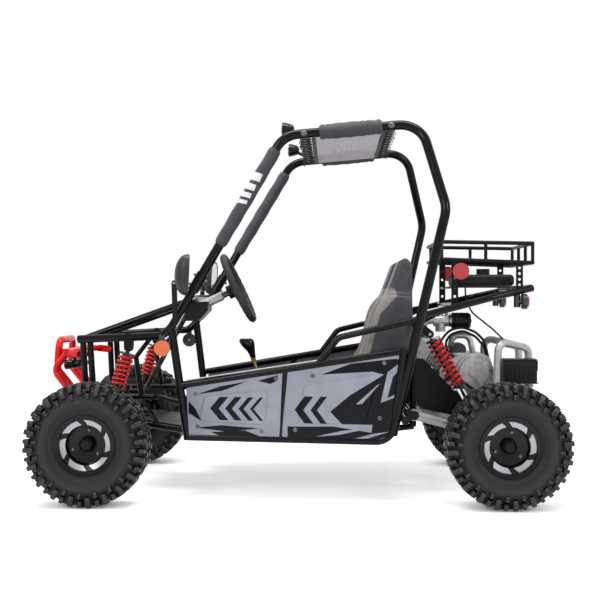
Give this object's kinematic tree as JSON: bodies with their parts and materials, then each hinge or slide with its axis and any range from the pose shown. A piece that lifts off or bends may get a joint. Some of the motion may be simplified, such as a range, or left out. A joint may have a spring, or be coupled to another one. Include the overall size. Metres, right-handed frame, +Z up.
{
  "type": "two-seat off-road buggy",
  "caption": "Small off-road buggy with a tube frame, bolted roll cage, knobbly tyres, bucket seats, steering linkage, coil dampers, rear engine and luggage rack.",
  "frame": {"origin": "on the ground, under the middle of the box round the whole buggy, midway between the axle lines", "axes": "+X forward, +Y to the driver's left, +Z up"},
  "size_m": [1.7917, 1.09, 1.2934],
  "materials": {
    "alloy": "cast aluminium",
    "amber_plastic": "moulded amber reflector",
    "black_plastic": "moulded black",
    "fabric": "black woven fabric over foam",
    "frame_paint": "gloss black powder coat",
    "grip": "soft black foam grip",
    "panel": "silver grey with dark graphics",
    "red_paint": "gloss red powder coat",
    "red_plastic": "moulded red reflector and lens",
    "rim_paint": "black with a silver ring",
    "silver_paint": "silver paint",
    "steel": "bare turned steel",
    "tyre": "matt rubber",
    "vinyl": "charcoal vinyl with a taupe band"
  },
  "bodies": {
    "chassis": {"side_frame_left": "frame_paint", "side_frame_right": "frame_paint", "roll_cage": "frame_paint", "nose_frame": "frame_paint", "floor_frame": "frame_paint", "rear_frame": "frame_paint", "front_arms": "frame_paint", "dampers": "steel", "springs": "red_paint", "column_bracket": "silver_paint", "dash_box": "black_plastic", "swing_arm": "silver_paint", "side_panels": "panel", "floor_pan": "frame_paint", "bumper": "red_paint", "seat_left": "vinyl", "seat_right": "vinyl", "engine": "alloy", "carburettor": "alloy", "air_filter": "black_plastic", "exhaust": "steel", "mudguards": "frame_paint", "drive_chain": "steel", "battery_box": "black_plastic", "fuel_tank": "black_plastic", "rack": "frame_paint", "spot_lamps": "black_plastic", "front_reflectors": "amber_plastic", "rear_reflectors": "red_plastic", "tail_lamps": "red_plastic", "mirrors": "black_plastic", "cage_pads": "fabric", "canopy": "fabric", "pedals": "black_plastic", "gear_lever": "black_plastic", "hoses": "black_plastic"},
    "steering": {"steering_wheel": "grip", "steering_shaft": "steel"},
    "lower_steering": {"lower_steering_shaft": "steel"},
    "knuckle_left": {"knuckle_left": "steel"},
    "tie_rod_left": {"tie_rod_left": "steel"},
    "front_wheel_left": {"tyre_front_left": "tyre", "rim_front_left": "rim_paint", "hub_front_left": "alloy"},
    "knuckle_right": {"knuckle_right": "steel"},
    "tie_rod_right": {"tie_rod_right": "steel"},
    "front_wheel_right": {"tyre_front_right": "tyre", "rim_front_right": "rim_paint", "hub_front_right": "alloy"},
    "rear_axle": {"rear_axle": "steel", "brake_disc": "steel", "sprocket": "steel", "rear_rims": "rim_paint", "rear_hubs": "alloy", "tyre_rear_left": "tyre", "tyre_rear_right": "tyre"}
  },
  "joints": [
    {"name": "steering_turn", "type": "hinge", "parent": "chassis", "child": "steering", "pos_m": [0.216, 0.19, 0.719], "axis": [-0.9033, 0, 0.4289], "range_deg": [-65, 65]},
    {"name": "lower_steering_turn", "type": "hinge", "parent": "chassis", "child": "lower_steering", "pos_m": [0.39486, 0.19, 0.63407], "axis": [-0.4858, 0.3719, 0.791], "range_deg": [-66, 66]},
    {"name": "knuckle_left_turn", "type": "hinge", "parent": "chassis", "child": "knuckle_left", "pos_m": [0.69, 0.342, 0.203], "axis": [0, 0, 1], "range_deg": [-27, 27]},
    {"name": "tie_rod_left_turn", "type": "hinge", "parent": "knuckle_left", "child": "tie_rod_left", "pos_m": [0.6, 0.328, 0.222], "axis": [0, 0, 1], "range_deg": [-27, 27]},
    {"name": "front_left_roll", "type": "hinge", "parent": "knuckle_left", "child": "front_wheel_left", "pos_m": [0.69, 0.46, 0.203], "axis": [0, 1, 0], "continuous": true},
    {"name": "knuckle_right_turn", "type": "hinge", "parent": "chassis", "child": "knuckle_right", "pos_m": [0.69, -0.342, 0.203], "axis": [0, 0, 1], "range_deg": [-27, 27]},
    {"name": "tie_rod_right_turn", "type": "hinge", "parent": "knuckle_right", "child": "tie_rod_right", "pos_m": [0.6, -0.328, 0.222], "axis": [0, 0, 1], "range_deg": [-27, 27]},
    {"name": "front_right_roll", "type": "hinge", "parent": "knuckle_right", "child": "front_wheel_right", "pos_m": [0.69, -0.46, 0.203], "axis": [0, 1, 0], "continuous": true},
    {"name": "rear_axle_roll", "type": "hinge", "parent": "chassis", "child": "rear_axle", "pos_m": [-0.69, 0, 0.203], "axis": [0, 1, 0], "continuous": true}
  ],
  "couplings": [
    {"joint": "lower_steering_turn", "follows": "steering_turn", "ratio": 1},
    {"joint": "knuckle_left_turn", "follows": "steering_turn", "ratio": 0.4},
    {"joint": "tie_rod_left_turn", "follows": "steering_turn", "ratio": -0.4},
    {"joint": "knuckle_right_turn", "follows": "steering_turn", "ratio": 0.4},
    {"joint": "tie_rod_right_turn", "follows": "steering_turn", "ratio": -0.4}
  ]
}
